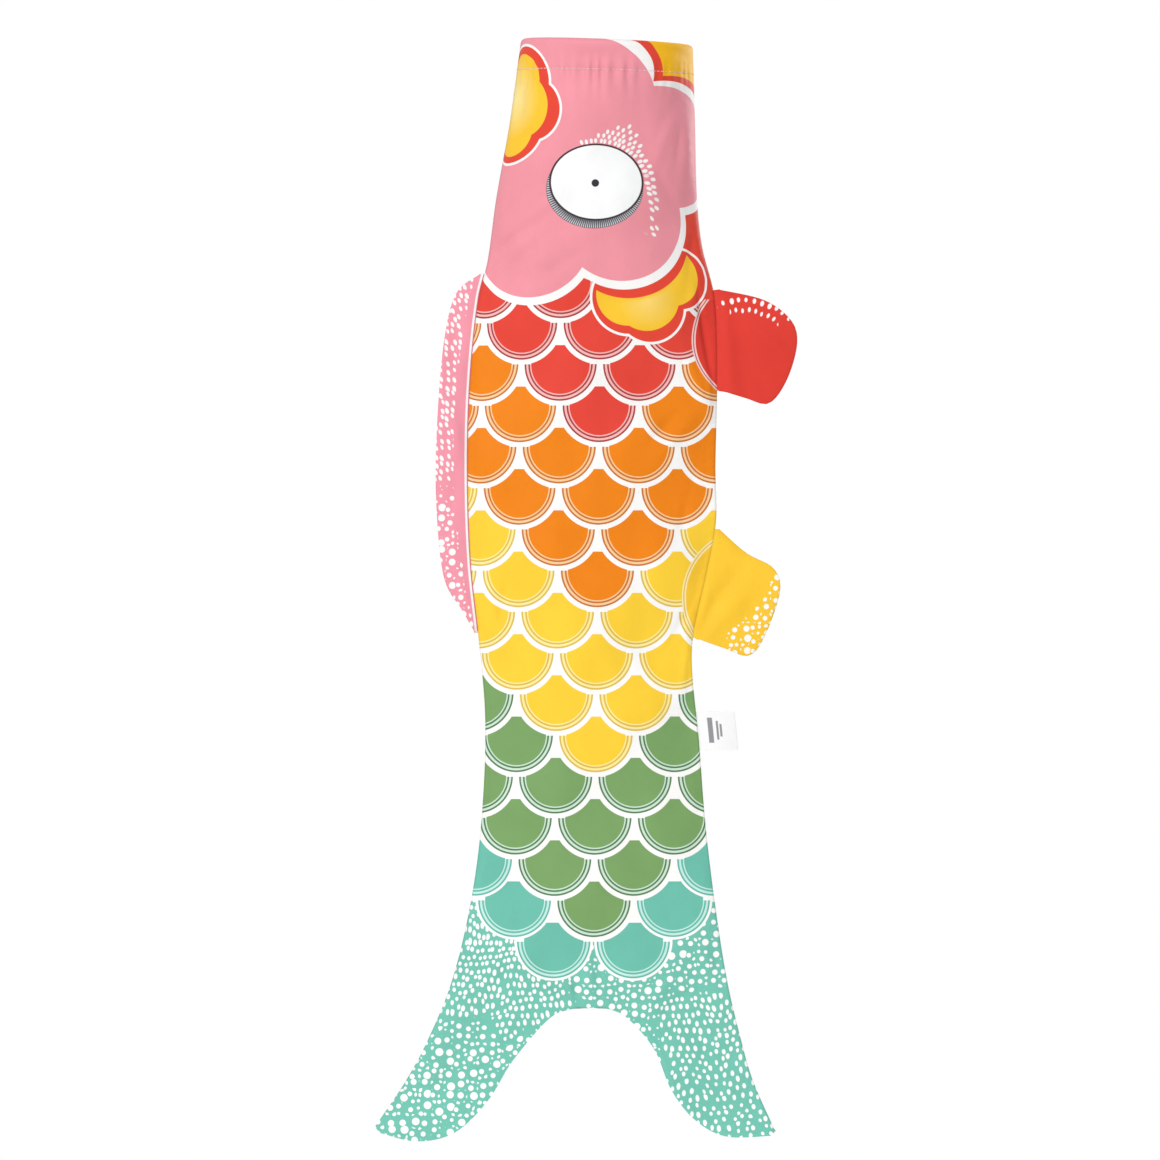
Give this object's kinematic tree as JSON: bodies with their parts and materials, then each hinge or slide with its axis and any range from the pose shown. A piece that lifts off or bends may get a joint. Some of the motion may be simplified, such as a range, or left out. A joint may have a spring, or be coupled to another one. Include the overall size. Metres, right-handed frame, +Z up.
{
  "type": "carp streamer",
  "caption": "Hanging fish-shaped cloth streamer with a hooped open mouth, a body that sways at bend lines, sewn flapping fins and a forked open tail.",
  "frame": {"origin": "middle of the mouth rim, where the streamer hangs", "axes": "+Z up, out of the mouth along the hanging body; +X towards the belly; -Y towards the right flank"},
  "size_m": [0.2683, 0.09, 0.7014],
  "materials": {
    "head_cloth": "printed pink polyester",
    "trunk_cloth": "printed red and orange polyester",
    "rear_cloth": "printed yellow and green polyester",
    "tail_cloth": "printed teal polyester",
    "dorsal_cloth": "printed pink polyester",
    "pectoral_cloth": "printed red polyester",
    "ventral_cloth": "printed yellow polyester",
    "label_tape": "woven white tape",
    "thread": "white sewing thread",
    "hoop_plastic": "white springy rod",
    "sleeve_plastic": "clear tube"
  },
  "bodies": {
    "head": {"mouth_hoop": "hoop_plastic", "hoop_sleeve": "sleeve_plastic", "hem_casing": "head_cloth", "hem_stitching": "thread", "head_right": "head_cloth", "head_left": "head_cloth"},
    "trunk": {"trunk_right": "trunk_cloth", "trunk_left": "trunk_cloth"},
    "rear": {"rear_right": "rear_cloth", "rear_left": "rear_cloth"},
    "tail_root": {"tail_root_right": "tail_cloth", "tail_root_left": "tail_cloth"},
    "upper_lobe": {"upper_lobe_right": "tail_cloth", "upper_lobe_left": "tail_cloth"},
    "lower_lobe": {"lower_lobe_right": "tail_cloth", "lower_lobe_left": "tail_cloth"},
    "dorsal_fin": {"dorsal_fin_right": "dorsal_cloth", "dorsal_fin_left": "dorsal_cloth"},
    "pectoral_fin": {"pectoral_fin_right": "pectoral_cloth", "pectoral_fin_left": "pectoral_cloth"},
    "ventral_fin": {"ventral_fin_right": "ventral_cloth", "ventral_fin_left": "ventral_cloth"},
    "label": {"label": "label_tape"}
  },
  "joints": [
    {"name": "neck_sway", "type": "hinge", "parent": "head", "child": "trunk", "pos_m": [0, 0, -0.144], "axis": [1, 0, 0], "range_deg": [-20, 20]},
    {"name": "waist_sway", "type": "hinge", "parent": "trunk", "child": "rear", "pos_m": [0, 0, -0.382], "axis": [1, 0, 0], "range_deg": [-30, 30]},
    {"name": "tail_sway", "type": "hinge", "parent": "rear", "child": "tail_root", "pos_m": [0, 0, -0.545], "axis": [1, 0, 0], "range_deg": [-35, 35]},
    {"name": "upper_lobe_sway", "type": "hinge", "parent": "tail_root", "child": "upper_lobe", "pos_m": [-0.009, 0, -0.612], "axis": [1, 0, 0], "range_deg": [-40, 40]},
    {"name": "lower_lobe_sway", "type": "hinge", "parent": "tail_root", "child": "lower_lobe", "pos_m": [-0.009, 0, -0.612], "axis": [1, 0, 0], "range_deg": [-40, 40]},
    {"name": "dorsal_fin_flap", "type": "hinge", "parent": "trunk", "child": "dorsal_fin", "pos_m": [-0.09019, 0, -0.26157], "axis": [0.018, 0, 0.9998], "range_deg": [-90, 90], "stiffness_Nm_per_rad": 0.0005},
    {"name": "pectoral_fin_flap", "type": "hinge", "parent": "trunk", "child": "pectoral_fin", "pos_m": [0.07143, 0, -0.18991], "axis": [-0.0379, 0, 0.9993], "range_deg": [-90, 90], "stiffness_Nm_per_rad": 0.0005},
    {"name": "ventral_fin_flap", "type": "hinge", "parent": "trunk", "child": "ventral_fin", "pos_m": [0.06357, 0, -0.3448], "axis": [0.2003, 0, 0.9797], "range_deg": [-90, 90], "stiffness_Nm_per_rad": 0.0005},
    {"name": "label_flap", "type": "hinge", "parent": "rear", "child": "label", "pos_m": [0.05901, 0, -0.43821], "axis": [-0.0977, 0, 0.9952], "range_deg": [-90, 90], "stiffness_Nm_per_rad": 0.0001}
  ]
}
